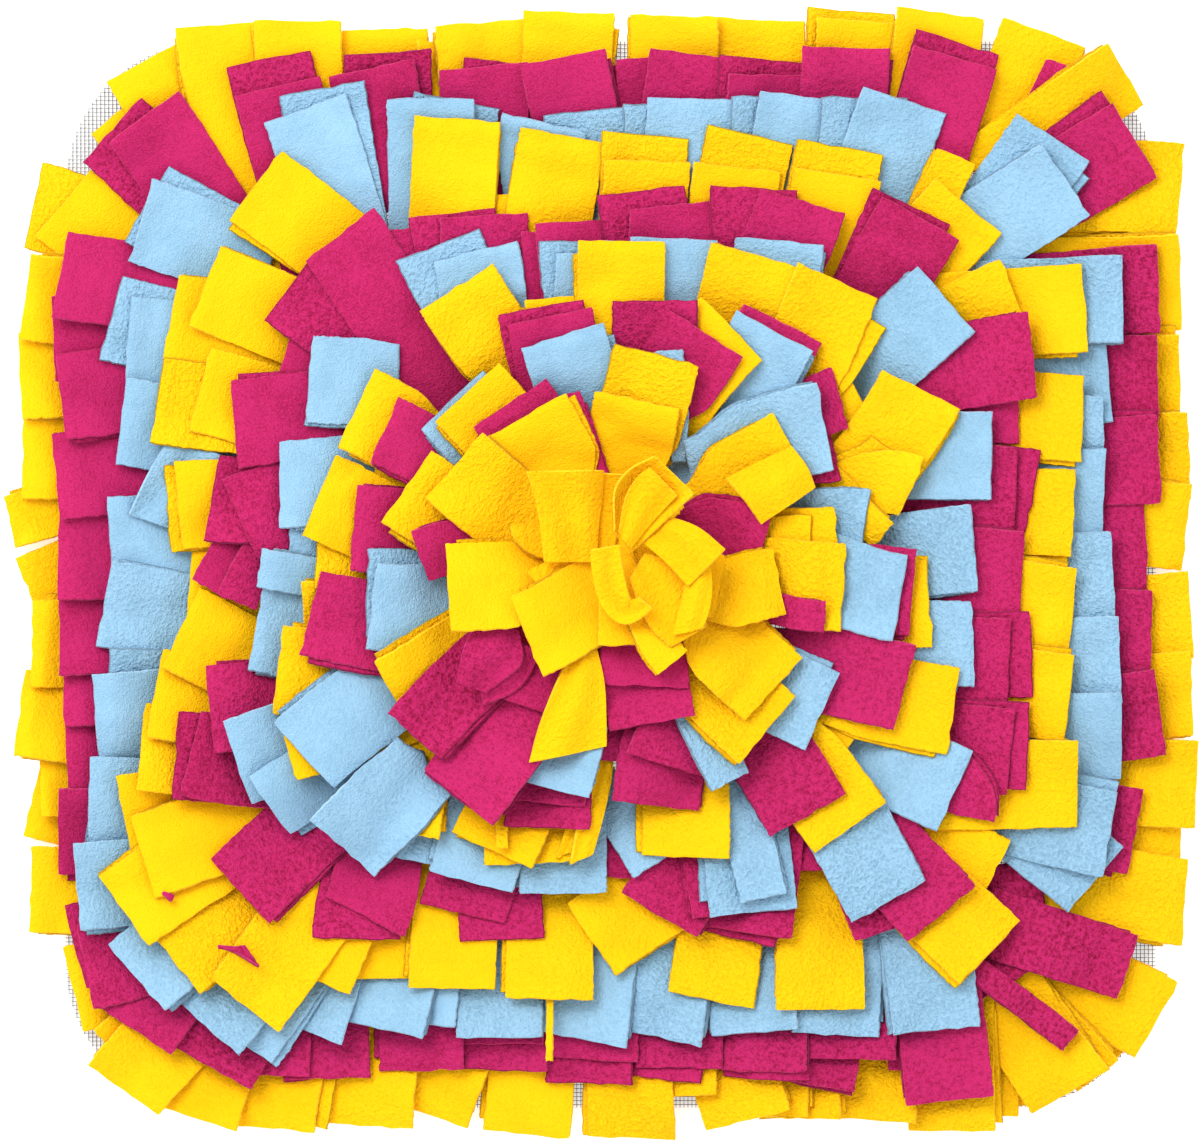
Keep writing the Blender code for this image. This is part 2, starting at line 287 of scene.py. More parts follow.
        ((-27, -28, 3, -20, -20, 12), (-33, -40, 2, -45, -25, 10), (-44, -47, 0, -80, -10, 6)),
        ((-37, -19, 3, -25, 0, 16), (-40, -31, 5, -18, -12, 23), (-48, -43, 1, -20, -20, 13)),
        (19.5, -57, 280), (17, -43, 270), (62, 11, -12, 28), (85, -17, -3, 12),
    )),
    (10, (
        (-27, 59.5, 120), (-55, 40, 138), (-57, -6, 182),
        ((-7, -31, 2, 22, -8, 13), (-8.5, -44, 5, 14, -16, 22, -1),
         (-10.5, -57, 6, 10, -20, 28, -3), (-12, -68, 3, 12, -16, 31, -4)),
        (65.5, -44, -41), (67.5, -3.5, 9, 26),
        ((59.5, 41, 2, 26, 0, 28), (66, 33, 5, 30, 0, 27), (70.5, 25, 1, 34, 0, 25)),
    )),
    (12, (
        (25, 33, 42, 22), (35, 2, -25, 22), (45, -5, -8, 24), (24, -20, -60, 22),
        (-28.5, 18.5, 100, 11), (-20, 4, 125, 17), (-27.5, -24.5, 201), (8.5, -27.5, 270, 18),
        (27.5, -34, -48, 15),
        ((2, 6, 1, -2, 18, 7, -1), (2.5, 20, 2, -3, 16, 10, -2), (3.5, 36.5, 3, -4, 12, 13, -2),
         -0.6),
        ((-11, 4, 0, 0, -4, 20, -1), (-11.5, 17, 4, 0, -8, 22, -3), (-12, 29, 6, 0, -10, 26, -4),
         (-13, 37.5, 7, 1, -8, 29, -4)),
        ((14, 2, 5, 60, -16, 12), (21, -5, 4, 50, -14, 21, -2.5), (28, -15, 2, 40, -8, 22, -2.5),
         (33, -24, 0, 30, 0, 16), -1.6),
        ((37, 5, 3, 6, -14, 8), (36.5, -5, 4, 8, -20, 11, -2), (35, -14, 3, 12, -16, 13, -2),
         (33, -22, 0, 14, -4, 12, -1), -0.9),
        ((16, 17.5, 0, 54, -4, 10, -1), (22.5, 14.5, 3, 56, -6, 14, -2),
         (31, 9.5, 6.5, 50, -8, 18, -3.5), (39.5, 1.5, 7, 45, -12, 20, -5), -1.7),
        ((8, 11, 0, -56, 6, 11, 1), (12, 22, 2.5, -50, 9, 22, 2.5), (19, 30, 2.5, -46, 10, 24, 2.5),
         (27.5, 36, 2, -44, 8, 21, 2.5), -0.5),
        ((9, 12, 0, -58, -6, 8, -1), (13.5, 22, 2, -52, -10, 14, -2),
         (19, 29.5, 2, -47, -10, 16, -2.5), (23.5, 33.5, 2, -45, -6, 15, -2), -1.4),
        ((2, 9, 9, 10, -12, 12), (3, 0, 6, 8, -6, 12), (5.5, -10, 2, 4, 0, 12),
         (10, -15, 0, 60, 0, 10), (14, -13.5, 3, 120, 0, 8), (17, -11.5, 6, 140, 0, 7)),
    )),
)


def smooth_step(x):
    """Eases from 0 to 1 as x goes from 0 to 1, and stays level outside that."""
    x = np.clip(x, 0.0, 1.0)
    return x * x * (3 - 2 * x)


class RoundedLine:
    """A rounded rectangle, for the stitch line of a row."""

    def __init__(self, middle, half_x, half_y, corner):
        self.middle, self.half_x, self.half_y, self.corner = middle, half_x, half_y, corner

    def points(self, step):
        """Points round the line, about that far apart."""
        flat_x, flat_y = self.half_x - self.corner, self.half_y - self.corner
        made = []
        for quarter, (sx, sy) in enumerate(((1, 1), (-1, 1), (-1, -1), (1, -1))):
            arc = max(3, int(self.corner * math.pi / 2 / step))
            for k in range(arc + 1):
                turn = (quarter + k / arc) * math.pi / 2
                made.append((
                    self.middle[0] + sx * flat_x + self.corner * math.cos(turn),
                    self.middle[1] + sy * flat_y + self.corner * math.sin(turn),
                ))
        loop = made + made[:1]
        points = []
        for a, b in zip(loop, loop[1:]):
            pieces = max(1, round(math.dist(a, b) / step))
            for k in range(pieces):
                share = k / pieces
                points.append((a[0] + (b[0] - a[0]) * share, a[1] + (b[1] - a[1]) * share))
        return np.array(points)


class Pile:
    """How high the cloth lies so far, on a grid of one millimetre over the mat."""

    # how far round a place its surroundings reach, and how much finer than a strip's own
    # grid, along and across it, its surface is read, so that no cell under it is passed over
    NEAR = 2
    FINER_ALONG, FINER_ACROSS = 4, 6

    def __init__(self):
        self.height = np.full((2 * PILE_REACH, 2 * PILE_REACH), NET_TOP)
        self.smooth = None

    def cells(self, plan):
        """The grid's cells that these places lie in."""
        cells = np.floor(plan).astype(int) + PILE_REACH
        return np.clip(cells, self.NEAR, 2 * PILE_REACH - self.NEAR - 1)

    def below(self, plan):
        """The height to clear at each place in plan, with its surroundings in mind."""
        cells = self.cells(plan)
        low = cells.reshape(-1, 2).min(0) - self.NEAR
        high = cells.reshape(-1, 2).max(0) + self.NEAR + 1
        part = self.height[low[0]:high[0], low[1]:high[1]]
        highest = part
        for dx in range(-self.NEAR, self.NEAR + 1):
            for dy in range(-self.NEAR, self.NEAR + 1):
                near = np.roll(part, (dx, dy), (0, 1)) - NEAR_SLOPE * math.hypot(dx, dy)
                highest = np.maximum(highest, near)
        local = cells - low
        return highest[local[..., 0], local[..., 1]]

    def cover(self, plan, top):
        """Raises the pile to this surface, given as a grid of places and heights."""
        rows, columns = plan.shape[:2]
        fine_i = np.linspace(0, rows - 1, rows * self.FINER_ALONG)
        fine_j = np.linspace(0, columns - 1, columns * self.FINER_ACROSS)

        def finer(grid):
            i = np.minimum(fine_i.astype(int), rows - 2)
            j = np.minimum(fine_j.astype(int), columns - 2)
            a, b = (fine_i - i)[:, None], (fine_j - j)[None, :]
            near, far = grid[i], grid[i + 1]
            return ((near[:, j] * (1 - a) + far[:, j] * a) * (1 - b)
                    + (near[:, j + 1] * (1 - a) + far[:, j + 1] * a) * b)

        x, y, z = finer(plan[..., 0]), finer(plan[..., 1]), finer(top)
        cells = self.cells(np.stack((x, y), -1))
        np.maximum.at(self.height, (cells[..., 0], cells[..., 1]), z)

    def smoothed(self):
        """The pile's height, evened out over a few centimetres."""
        if self.smooth is None:
            places = 2 * EVEN_REACH + 1
            kernel = np.ones(places) / places
            self.smooth = self.height
            for axis in (0, 1) * 3:
                margins = [(EVEN_REACH, EVEN_REACH) if k == axis else (0, 0) for k in (0, 1)]
                padded = np.pad(self.smooth, margins, mode="edge")
                self.smooth = np.apply_along_axis(np.convolve, axis, padded, kernel, "valid")
        return self.smooth

    def settled(self, points):
        """Heights once the layers under the loose top ones are pressed together."""
        smooth = self.smoothed()
        at = np.clip(points[:, :2] + PILE_REACH - 0.5, 0, 2 * PILE_REACH - 2)
        i, j = at.astype(int).T
        a, b = (at - at.astype(int)).T
        near = smooth[i, j] * (1 - b) + smooth[i, j + 1] * b
        far = smooth[i + 1, j] * (1 - b) + smooth[i + 1, j + 1] * b
        top = near * (1 - a) + far * a
        pressed_top = np.where(top > FREE_HEIGHT, FREE_HEIGHT + (top - FREE_HEIGHT) * SETTLED, top)
        upper = 1 - TOP_GIVES * smooth_step((top - FREE_HEIGHT) / GIVES_OVER)
        floor, pressed_floor = top - LOOSE_TOP, pressed_top - LOOSE_TOP * upper
        lower = np.where(floor > 1, pressed_floor / np.maximum(floor, 1), 1)
        z = points[:, 2]
        return np.where((z < floor) & (floor > 1), z * lower,
                        np.where(floor > 1, pressed_floor + (z - floor) * upper, z))


class RowFacts:
    """What the looks take from a row's solid: its stitch line, reach and height."""

    # how far apart the places on the stitch line are that a strip may come from
    ROOT_STEP = 2.0

    def __init__(self, number, node):
        low, high = (np.array(corner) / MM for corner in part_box(node))
        middle, half = (high + low) / 2, (high - low) / 2
        self.reach = RIM_REACH - REACH_STEP * (number - 1)
        # the strips of the inner rows are gathered narrower on their stitch line
        self.gather = min(1.0, max(0.35, 1.0 - 0.11 * (number - 5)))
        self.ceiling = high[2] - PAIR_THICKNESS
        corner = min(CORNER_RADIUS, half[1])
        self.stitch_line = RoundedLine(
            middle[:2], half[0] - self.reach, half[1] - self.reach, corner - self.reach)
        if node == "centre_tuft":
            self.reach = TUFT_REACH
            self.stitch_line = RoundedLine(
                np.array(TUFT_MIDDLE), TUFT_RADIUS, TUFT_RADIUS, TUFT_RADIUS)
        self.roots = self.stitch_line.points(self.ROOT_STEP)

    def spring(self, share):
        """The height that a tail springs to by itself, at shares of its length."""
        out = share * self.reach
        if self.ceiling < KNEE[1]:
            return ROOT_HEIGHT + (self.ceiling - ROOT_HEIGHT) * smooth_step(out / KNEE[0])
        knee = ROOT_HEIGHT + (KNEE[1] - ROOT_HEIGHT) * smooth_step(out / KNEE[0])
        slope_end = self.reach if self.ceiling > STEEP_ROW else self.reach * LEVEL_FROM
        lean = (self.ceiling - KNEE[1]) / (slope_end - KNEE[0])
        return np.minimum(knee + np.maximum(out - KNEE[0], 0) * lean, self.ceiling)


def heading_of(aim):
    """The direction of this angle in the mat's plane."""
    return np.array((math.cos(aim), math.sin(aim)))


def nearest_root(facts, tip, aim):
    """The place on the row's stitch line that a tail with this tip comes from."""
    direction = heading_of(aim)
    # a tail longer or shorter than its row's is likelier than one that starts to one side
    apart = facts.roots - (tip - direction * facts.reach)
    ahead = apart @ direction
    aside = apart @ np.array((-direction[1], direction[0]))
    return facts.roots[np.argmin(0.35 * ahead**2 + aside**2)]


def tail_plan(root, tip, aim, width, gather, rng):
    """A tail's plan, as a grid of places: a gentle curve from its root to its tip."""
    share = TAIL_STEPS
    start = tip - root
    end = heading_of(aim) * np.linalg.norm(start)
    s = share[:, None]
    # it leaves the root straight towards the tip, and ends in its own direction
    line = ((2 * s**3 - 3 * s**2 + 1) * root + (s**3 - 2 * s**2 + s) * start
            + (3 * s**2 - 2 * s**3) * tip + (s**3 - s**2) * end)
    ahead = np.gradient(line, axis=0)
    ahead /= np.linalg.norm(ahead, axis=1)[:, None]
    left = np.stack((-ahead[:, 1], ahead[:, 0]), 1)
    # cut edges wander a little and are slightly ragged, and the tip is cut a little askew
    pinch = gather + (1 - gather) * smooth_step(share / 0.45)
    widths = (width - 2 * EDGE) * pinch[:, None] * SIDEWAYS[None, :]
    for side in (-1, 1):
        bend = rng.normal(0, 0.3) * np.sin(share * rng.uniform(2, 4) + rng.uniform(0, math.tau))
        ragged = rng.normal(0, 0.13, ALONG)
        toward = np.clip(SIDEWAYS * 2 * side, 0, 1)
        widths += (bend[:, None] * toward + ragged[:, None] * toward**6) * side
    skew = rng.normal(0, 0.4) * SIDEWAYS * 2 + rng.normal(0, 0.2, ACROSS)
    ends = smooth_step((share - 0.6) / 0.4)[:, None] * skew[None, :]
    sideways = left[:, None, :] * widths[..., None]
    return line[:, None, :] + sideways + ahead[:, None, :] * ends[..., None]


def bend_over(plan, height, bend):
    """The lowest surface over these heights that bends over them no tighter than this."""
    places = plan.reshape(-1, 2)
    apart = ((places[:, None, :] - places[None, :, :]) ** 2).sum(2)
    return (height.ravel()[None, :] - apart / (2 * bend)).max(1).reshape(height.shape)


def rest_tail(pile, plan, offsets, spring, rng):
    """Heights of a tail's underside where it rests on the pile, or springs up above it."""
    wanted = np.maximum(pile.below(plan) + GAP, spring[:, None])
    draped = bend_over(plan, wanted, BEND)
    # a stiffer strip would lie straight across, tilted as what it rests on is
    tilt = (draped * offsets).sum(1) / (offsets**2).sum()
    kernel = np.array((1, 2, 3, 4, 3, 2, 1)) / 16
    tilt = np.convolve(np.pad(tilt, 3, mode="edge"), kernel, "valid")
    middle = (draped - tilt[:, None] * offsets).max(1)
    line = plan[:, ACROSS // 2]
    middle = bend_over(line[:, None, :], middle[:, None], 3 * BEND)[:, 0]
    board = middle[:, None] + tilt[:, None] * offsets
    stiffness = rng.uniform(0.1, 0.35)
    return board * stiffness + draped * (1 - stiffness)


def ripples(plan, length, rng):
    """How a tail ripples: gentle waves, and now and then a crease that its tip rises from."""
    away = np.linalg.norm(plan - plan[0, ACROSS // 2], axis=2)
    side = (plan[..., 0] * rng.normal(0, 1) + plan[..., 1] * rng.normal(0, 1)) / 30
    phase = away * math.tau / rng.uniform(20, 38) + side + rng.uniform(0, math.tau)
    waves = 0.5 + 0.5 * np.sin(phase)
    lift = rng.uniform(0.1, 0.6) * waves * smooth_step(away / 20)
    if rng.uniform() < 0.35:
        lean = rng.uniform(-0.5, 0.5)
        over = away - length * rng.uniform(0.6, 0.85) + 32 * SIDEWAYS[None, :] * lean
        lift = lift + np.clip(over, 0, 12) * rng.uniform(0.06, 0.15)
    return lift


def tip_shape(rng):
    """How a tail's tip lifts: one corner more than the other, and a light curl."""
    toward_tip = smooth_step((TAIL_STEPS - 0.62) / 0.38)[:, None] ** 1.5
    side = SIDEWAYS[None, :] * 2
    lift = rng.uniform(0, 0.9)
    corner = rng.normal(0, 0.8)
    cup = rng.normal(0, 0.5)
    return toward_tip * np.maximum(lift + corner * side + cup * side**2, 0)


def surface(plan, under, thick):
    """The middle of a tail's thickness, as a grid of points, and the height of its top."""
    step = np.gradient(under, axis=0)
    run = np.linalg.norm(np.gradient(plan, axis=0), axis=2)
    steep = np.sqrt(1 + np.clip(step / run, -1.2, 1.2) ** 2)
    half = thick[:, None] / 2 * steep
    return np.concatenate((plan, (under + half)[..., None]), 2), under + 2 * half


def round_the_border(rows, columns):
    """The rows and columns of a grid's outermost places, in order round it."""
    down, over = np.arange(rows - 1), np.arange(columns - 1)
    i = np.concatenate((0 * over, down, rows - 1 + 0 * over, rows - 1 - down))
    j = np.concatenate((over, columns - 1 + 0 * down, columns - 1 - over, 0 * down))
    return i, j


def way_along(points, axis):
    """How far each row or column of a grid of points lies from the first one."""
    steps = np.linalg.norm(np.diff(points, axis=axis), axis=2).mean(1 - axis)
    return np.concatenate(((0.0,), np.cumsum(steps)))


class Cloth:
    """Gathers the strips of one piece, and makes its mesh."""

    # where the next strip, and a strip's inner face, take their part of the pattern from
    NEXT_STRIP = (41.0, 13.0)
    INNER_FACE = (500, 0)

    def __init__(self, node):
        self.node = node
        self.points, self.faces, self.uvs = [], [], []
        self.naps, self.tones, self.rims, self.borders = [], [], [], []
        self.count, self.strips, self.width, self.area = 0, 0, 0.0, 0.0

    def add(self, middle, thick, width, nap_outside, nap_inside, tone):
        """Adds a strip from the grid of its middle surface, with soft cut edges."""
        rows, columns = middle.shape[:2]
        cells = rows * columns
        ahead = np.gradient(middle, axis=0)
        left = np.gradient(middle, axis=1)
        normal = np.cross(ahead, left)
        normal /= np.linalg.norm(normal, axis=2)[..., None]
        outside = middle + normal * thick[:, None, None] / 2
        inside = middle - normal * thick[:, None, None] / 2

        # the cut edge stands a little out from both faces' borders, halfway between them
        i, j = round_the_border(rows, columns)
        outwards = np.zeros((len(i), 3))
        for on_side, sign, slope in (
            (i == 0, -1, ahead), (i == rows - 1, 1, ahead),
            (j == 0, -1, left), (j == columns - 1, 1, left),
        ):
            step = slope[i[on_side], j[on_side]] * sign
            outwards[on_side] += step / np.linalg.norm(step, axis=1)[:, None]
        outwards /= np.maximum(np.linalg.norm(outwards, axis=1), 1.0)[:, None]
        rim = middle[i, j] + outwards * (EDGE * thick[i] / FLEECE)[:, None]
        self.points += [outside.reshape(-1, 3), inside.reshape(-1, 3), rim]

        grid = self.count + np.arange(cells).reshape(rows, columns)
        front = np.stack((grid[:-1, :-1], grid[1:, :-1], grid[1:, 1:], grid[:-1, 1:]), -1)
        front = front.reshape(-1, 4)
        edge = grid[i, j]
        rim_at = self.count + 2 * cells + np.arange(len(i))
        edge_after, rim_after = np.roll(edge, -1), np.roll(rim_at, -1)
        self.faces += [
            front, front[:, (0, 3, 2, 1)] + cells,
            np.stack((edge, edge_after, rim_after, rim_at), -1),
            np.stack((edge_after + cells, edge + cells, rim_at, rim_after), -1),
        ]

        along, side = way_along(middle, 0), way_along(middle, 1)
        uv = np.stack(np.broadcast_arrays(side[None, :] + self.strips * self.NEXT_STRIP[0],
                                          along[:, None] + self.strips * self.NEXT_STRIP[1]), -1)
        flat = uv.reshape(-1, 2)
        self.uvs += [flat, flat + self.INNER_FACE, uv[i, j]]

        border = np.zeros((rows, columns), int)
        border[i, j] = 1
        self.borders += [border.ravel(), 2 * border.ravel(), np.zeros(len(i), int)]
        self.naps += [np.full(cells, nap_outside), np.full(cells, nap_inside),
                      np.full(len(i), (nap_outside + nap_inside) / 2)]
        self.tones.append(np.full(2 * cells + len(i), tone))
        self.rims += [np.zeros(2 * cells), np.ones(len(i))]
        self.count += 2 * cells + len(i)
        self.strips += 1
        self.width += width
        self.area += width * (along[-1] + 2 * EDGE)

    def make(self, material, slot, pile):
        """Makes the piece of all its strips, with the pile's layers pressed together."""
        points = np.concatenate(self.points)
        points[:, 2] = pile.settled(points)
        points *= MM
        faces = np.concatenate(self.faces)
        name = self.node + "_strips"
        mesh = bpy.data.meshes.new(name)
        mesh.vertices.add(len(points))
        mesh.vertices.foreach_set("co", points.astype(np.float32).ravel())
        mesh.loops.add(faces.size)
        mesh.loops.foreach_set("vertex_index", faces.astype(np.int32).ravel())
        mesh.polygons.add(len(faces))
        mesh.polygons.foreach_set("loop_start", np.arange(0, faces.size, 4, dtype=np.int32))
        mesh.polygons.foreach_set("use_smooth", np.ones(len(faces), bool))
        mesh.update(calc_edges=True)

        # the light breaks where a face ends and the cut edge begins
        ends = np.empty(2 * len(mesh.edges), np.int32)
        mesh.edges.foreach_get("vertices", ends)
        border = np.concatenate(self.borders)[ends.reshape(-1, 2)]
        sharp = mesh.attributes.new("sharp_edge", "BOOLEAN", "EDGE")
        sharp.data.foreach_set("value", (border[:, 0] == border[:, 1]) & (border[:, 0] > 0))

        layer = mesh.uv_layers.new(name="cloth")
        uv = np.concatenate(self.uvs)[faces.ravel()] * MM
        layer.data.foreach_set("uv", uv.astype(np.float32).ravel())
        # the rims carry a painted highlight in the material; a strip's tone is random tone, or painted
        # shade
        for key, values in (("nap", self.naps), ("tone", self.tones), ("cut_edge_highlight", self.rims)):
            attribute = mesh.attributes.new(key, "FLOAT", "POINT")
            attribute.data.foreach_set("value", np.concatenate(values).astype(np.float32))
        mesh.materials.append(material)
        mesh.validate()
        piece = bpy.data.objects.new(name, mesh)
        bpy.context.scene.collection.objects.link(piece)
        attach(piece, "root")
        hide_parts(self.node)


def fold_between(lower, upper):
    """The rows of points that carry a strip round from its under tail to its upper one."""
    first, last = lower[0], upper[0]
    inwards = (lower[0] - lower[1]) + (upper[0] - upper[1])
    inwards[:, 2] = 0
    inwards /= np.linalg.norm(inwards, axis=1)[:, None]
    centre, half = (first + last) / 2, (last - first) / 2
    radius = np.maximum(np.linalg.norm(half, axis=1), FLEECE / 2)[:, None]
    return np.array([
        centre - half * math.cos(turn) + inwards * radius * math.sin(turn)
        for turn in (math.pi / 4, math.pi / 2, 3 * math.pi / 4)
    ])


def to_frame(x, y):
    """A place in the tables, as millimetres in the frame."""
    return MAT_MIDDLE + (np.array((x, y)) + TABLE_MIDDLE) * TABLE_SCALE


def from_frame(place):
    """Millimetres in the frame, as a place in the tables."""
    return (place - MAT_MIDDLE) / TABLE_SCALE - TABLE_MIDDLE


def nubbly_share(x, y, rng):
    """How nubbly the outer face is: more strips on the right and front lie rough side up."""
    lean = (x - y) / 420
    return float(np.clip(0.30 + 0.55 * lean + rng.normal(0, 0.18), 0.05, 1.0))


def lay_strip(pile, cloth, all_facts, row, entry):
    """Lays one folded strip: its under tail, then its upper tail on that."""
    x, y, aim, *rest = entry
    under_tail = [part for part in rest if isinstance(part, tuple)]
    numbers = [part for part in rest if not isinstance(part, tuple)]
    width = numbers[0] if numbers else STRIP_WIDTH
    sewn_to = numbers[1] if len(numbers) > 1 else row
    facts, sewn = all_facts[row - 1], all_facts[sewn_to - 1]
    # a strip's own place is its seed, so that it stays the same when another one changes
    rng = np.random.default_rng((row, int(x * 8 + 4000), int(y * 8 + 4000)))

    # what is nearer to the camera looks larger, so it has to lie a little further in
    drawn_in = 1 - max(facts.ceiling, KNEE[1]) / VIEW_DISTANCE
    tip, aim = to_frame(x, y) * drawn_in, math.radians(aim)
    if under_tail:
        under_x, under_y, under_aim = under_tail[0]
        under_tip, under_aim = to_frame(under_x, under_y) * drawn_in, math.radians(under_aim)
    else:
        side = heading_of(aim + math.pi / 2)
        under_tip = tip - heading_of(aim) * rng.uniform(0.5, 5.0) + side * rng.normal(0, 1.3)
        under_aim = aim + rng.normal(0, 0.05)
    root = (nearest_root(sewn, tip, aim) + nearest_root(sewn, under_tip, under_aim)) / 2

    spring = facts.spring(TAIL_STEPS) * rng.uniform(0.86, 1.0)
    # the pile presses on a tail's root half, and its tip is as thick as loose fleece
    thick = PRESSED + (FLEECE - PRESSED) * smooth_step((TAIL_STEPS - 0.45) / 0.25)
    tails = []
    for end, direction in ((under_tip, under_aim), (tip, aim)):
        plan = tail_plan(root, end, direction, width, facts.gather, rng)
        under = rest_tail(pile, plan, SIDEWAYS * width, spring, rng)
        under = under + tip_shape(rng) + ripples(plan, facts.reach, rng)
        middle, top = surface(plan, under, thick)
        pile.cover(plan, top)
        tails.append(middle)
    lower, upper = tails
    fold = fold_between(lower, upper)
    middle = np.concatenate((lower[::-1], fold, upper))
    thick = np.concatenate((thick[::-1], np.full(len(fold), PRESSED), thick))
    nap = nubbly_share(x, y, rng)
    nap_inside = float(np.clip(0.7 - 0.4 * nap, 0, 0.6))
    cloth.add(middle, thick, width, nap, nap_inside, rng.normal(0, 0.35))


def catmull(values, samples):
    """A smooth line through rows of values."""
    values = np.array(values, float)
    padded = np.concatenate((2 * values[:1] - values[1:2], values, 2 * values[-1:] - values[-2:-1]))
    spans = len(values) - 1
    at = np.linspace(0, spans, samples)
    k = np.minimum(at.astype(int), spans - 1)
    t = (at - k)[:, None]
    p0, p1, p2, p3 = padded[k], padded[k + 1], padded[k + 2], padded[k + 3]
    return 0.5 * (2 * p1 + (p2 - p0) * t + (2 * p0 - 5 * p1 + 4 * p2 - p3) * t**2
                  + (3 * p1 - p0 - 3 * p2 + p3) * t**3)


def lay_turned(pile, cloth, entry):
    """Lays a strip that turns, rolls or folds over, and lowers it until it touches."""
    stations = [part for part in entry if isinstance(part, tuple)]
    # a number after the stations deepens the strip's colour: painted shade, for a strip lying in shade
    tone = 0.0 if len(stations) == len(entry) else entry[-1]
    line = catmull([(*station, 0)[:7] for station in stations], TURNED_STEPS)
    centres = np.array([to_frame(x, y) for x, y in line[:, :2]])
    heading, tilt = np.radians(line[:, 3]), np.radians(line[:, 4])
    width, cup = line[:, 5:6], line[:, 6:7]
    reach = np.stack((np.cos(tilt) * np.cos(heading), np.cos(tilt) * np.sin(heading), np.sin(tilt)), 1)
    spread = SIDEWAYS[None, :, None] * (width - 2 * EDGE)[:, None]
    middle = np.concatenate((centres, line[:, 2:3]), 1)[:, None, :] + reach[:, None, :] * spread
    middle[..., 2] += cup * (2 * SIDEWAYS) ** 2
    # soft rolls run along it, drift to one side and begin elsewhere on every strip
    drift = np.linspace(0, 0.35, len(line))[:, None] + 0.05 * (line[0, 0] + line[0, 1])
    middle[..., 2] += ROLL * width * np.sin(math.tau * (ROLLS * SIDEWAYS + drift))
    plan = middle[..., :2]
    middle[..., 2] += (pile.below(plan) + GAP + FLEECE / 2 - middle[..., 2]).max()
    pile.cover(plan, middle[..., 2] + FLEECE / 2)
    # the smoother face is kept on top, whichever way round the stations run
    if np.cross(np.gradient(middle, axis=0), np.gradient(middle, axis=1))[..., 2].mean() < 0:
        middle = middle[:, ::-1]
    cloth.add(middle, np.full(len(middle), FLEECE), width.mean(), *TURNED_NAP, tone)


def lay_all(nodes, facts, patches):
    """Lays every strip in order, and returns the pile and the pieces that they make."""
    pile = Pile()
    cloths = [Cloth(node) for node in nodes]
    begun = set()
    for row, entries in LAYERS:
        if row not in begun:
            entries = patches[row - 1] + list(entries)
            begun.add(row)
        for entry in entries:
            if isinstance(entry[0], tuple):
                lay_turned(pile, cloths[row - 1], entry)
            else:
                lay_strip(pile, cloths[row - 1], facts, row, entry)
    return pile, cloths


def bare_places(pile, facts):
    """Places within the rim row's stitch line where the net would show through."""
    line, corner, margin = facts[0].stitch_line, 30, 2
    at = np.arange(2 * PILE_REACH) - PILE_REACH + 0.5
    x, y = np.meshgrid(at - line.middle[0], at - line.middle[1], indexing="ij")
    over_x = np.maximum(np.abs(x) - (line.half_x - corner), 0)
    over_y = np.maximum(np.abs(y) - (line.half_y - corner), 0)
    bare = (np.hypot(over_x, over_y) < corner - margin) & (pile.height < BARE_HEIGHT)
    cells = np.argwhere(bare) - PILE_REACH + 0.5
    places = []
    while len(cells) > 0:
        near = np.linalg.norm(cells - cells[0], axis=1) < SPOT_WIDTH
        if near.sum() > SMALLEST_SPOT:
            places.append(cells[near].mean(0))
        cells = cells[~near]
    return places


def patch_strips(pile, facts):
    """Strips to lay under the others, so that no hole goes through to the net."""
    patches = [[] for _ in facts]
    for place in bare_places(pile, facts):
        # a patch is sewn to a row further in, about a short tail's length away
        best = None
        for number, row in enumerate(facts):
            apart = np.linalg.norm(row.roots - place, axis=1)
            nearest = row.roots[apart.argmin()]
            inwards = np.linalg.norm(nearest - MAT_MIDDLE) < np.linalg.norm(place - MAT_MIDDLE)
            misfit = abs(apart.min() - PATCH_TAIL)
            if inwards and (best is None or misfit < best[0]):
                best = (misfit, number, nearest)
        if best:
            _, number, root = best
            ahead = (place - root) / np.linalg.norm(place - root)
            aim = math.degrees(math.atan2(ahead[1], ahead[0]))
            patches[number].append((*from_frame(place + ahead * PATCH_PAST), aim, PATCH_WIDTH))
    return patches


# ---------------------------------------------------------------- materials

def add_node(tree, kind, settings=None, **inputs):
    """Adds a node, and sets or joins its inputs, by their names or, as in _0, numbers."""
    node = tree.nodes.new(kind)
    for key, value in (settings or {}).items():
        setattr(node, key, value)
    for key, value in inputs.items():
        socket = node.inputs[int(key[1:]) if key[1:].isdigit() else key.replace("_", " ")]
        if isinstance(value, bpy.types.NodeSocket):
            tree.links.new(value, socket)
        else:
            socket.default_value = value
    return node


def new_material(name, **inputs):
    """A new material, its nodes and its shader, with the shader's inputs set."""
    material = bpy.data.materials.new(name)
    material.use_nodes = True
    shader = material.node_tree.nodes["Principled BSDF"]
    for key, value in inputs.items():
        shader.inputs[key.replace("_", " ")].default_value = value
    return material, material.node_tree, shader


def bump_up(tree, shader, height, strength, distance):
    """Gives the shader small bumps of this height."""
    bump = add_node(tree, "ShaderNodeBump", Strength=strength, Distance=distance, Height=height)
    tree.links.new(bump.outputs["Normal"], shader.inputs["Normal"])


